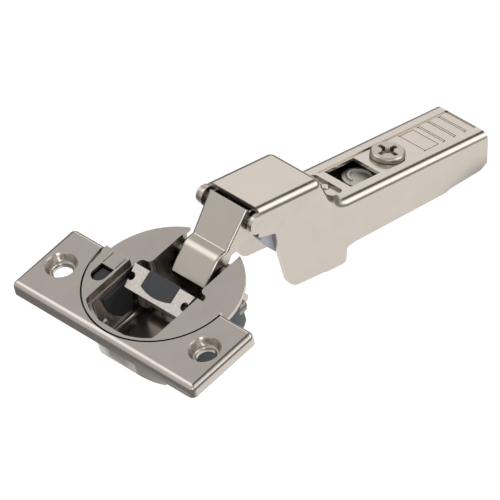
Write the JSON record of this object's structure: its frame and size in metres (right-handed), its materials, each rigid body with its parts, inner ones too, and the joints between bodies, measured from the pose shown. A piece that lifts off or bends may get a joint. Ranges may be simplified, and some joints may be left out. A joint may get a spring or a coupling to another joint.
{
  "type": "concealed cup hinge",
  "caption": "Open concealed cup hinge for furniture doors: screw-on cup with flange, folding links, damping lever and a cranked clip-on arm with a side adjusting screw.",
  "frame": {"origin": "centre of the 35 mm cup, on the flange's top plane, 3.3 mm above the door's face", "axes": "+X along the line of the two door screws, +Y from the cup towards the arm, +Z out of the cup away from the door; the hinge stands open by 110 degrees"},
  "size_m": [0.0568, 0.1134, 0.0431],
  "materials": {
    "cup_steel": "nickel-plated pressed steel, satin",
    "arm_steel": "nickel-plated pressed steel, satin",
    "cast_zinc": "nickel-plated zinc casting, satin",
    "pin_steel": "plain steel, satin",
    "spring_steel": "spring steel, dark",
    "dark_plastic": "matte dark grey acetal",
    "light_plastic": "matte pale grey acetal"
  },
  "bodies": {
    "cup": {"cup_shell": "cup_steel", "cup_cover": "cup_steel", "flange_plate": "cup_steel", "outer_cup_pin": "pin_steel", "inner_cup_pin": "pin_steel", "lever_axle": "pin_steel", "housing_left": "dark_plastic", "housing_right": "dark_plastic", "damper_left": "pin_steel", "damper_right": "pin_steel", "rivet_left": "pin_steel", "rivet_right": "pin_steel", "closing_spring_left": "spring_steel", "closing_spring_right": "spring_steel"},
    "outer_link": {"outer_link": "arm_steel"},
    "inner_link": {"inner_link": "arm_steel"},
    "arm": {"hinge_arm": "arm_steel", "outer_arm_pin": "pin_steel", "inner_arm_pin": "pin_steel", "nose_saddle": "light_plastic", "adapter_channel": "arm_steel", "hook_pin": "pin_steel", "ledge_rivet": "arm_steel", "latch_pin": "pin_steel"},
    "lever": {"damper_lever": "cup_steel", "lever_pad": "dark_plastic"},
    "slider_left": {"slider_left": "dark_plastic"},
    "slider_right": {"slider_right": "dark_plastic"},
    "switch": {"switch_slide": "dark_plastic"},
    "side_screw": {"side_screw": "pin_steel"},
    "depth_cam": {"depth_cam": "cast_zinc"},
    "latch": {"release_latch": "arm_steel"}
  },
  "joints": [
    {"name": "door_swing", "type": "hinge", "parent": "cup", "child": "outer_link", "pos_m": [0, 0.0114, -0.0086], "axis": [1, 0, 0], "range_deg": [0, 124]},
    {"name": "arm_fold", "type": "hinge", "parent": "outer_link", "child": "arm", "pos_m": [0, 0.02357, 0.00235], "axis": [1, 0, 0], "range_deg": [-14.2, 0]},
    {"name": "inner_swing", "type": "hinge", "parent": "cup", "child": "inner_link", "pos_m": [0, 0.0128, -0.0051], "axis": [1, 0, 0], "range_deg": [0, 144.5]},
    {"name": "lever_press", "type": "hinge", "parent": "cup", "child": "lever", "pos_m": [0, 0.001, -0.012], "axis": [1, 0, 0], "range_deg": [0, 75.2]},
    {"name": "slide_left", "type": "slide", "parent": "cup", "child": "slider_left", "axis": [0, -1, 0], "range_m": [0, 0.00141]},
    {"name": "slide_right", "type": "slide", "parent": "cup", "child": "slider_right", "axis": [0, -1, 0], "range_m": [0, 0.00141]},
    {"name": "switch_throw", "type": "slide", "parent": "cup", "child": "switch", "axis": [0, 1, 0], "range_m": [0, 0.0016]},
    {"name": "side_adjust", "type": "hinge", "parent": "arm", "child": "side_screw", "pos_m": [0, 0.06938, -0.02209], "axis": [0, 0.342, 0.9397], "continuous": true},
    {"name": "depth_adjust", "type": "hinge", "parent": "arm", "child": "depth_cam", "pos_m": [0, 0.06078, -0.02055], "axis": [0, 0.342, 0.9397], "continuous": true},
    {"name": "latch_release", "type": "hinge", "parent": "arm", "child": "latch", "pos_m": [0, 0.07656, -0.0313], "axis": [1, 0, 0], "range_deg": [0, 9], "stiffness_Nm_per_rad": 0.2}
  ],
  "couplings": [
    {"joint": "arm_fold", "follows": "door_swing", "ratio": -0.1129},
    {"joint": "inner_swing", "follows": "door_swing", "ratio": 1.1637},
    {"joint": "lever_press", "follows": "door_swing", "ratio": 0.60484},
    {"joint": "slide_left", "follows": "door_swing", "m_per_rad": 0.00064689},
    {"joint": "slide_right", "follows": "door_swing", "m_per_rad": 0.00064689}
  ]
}
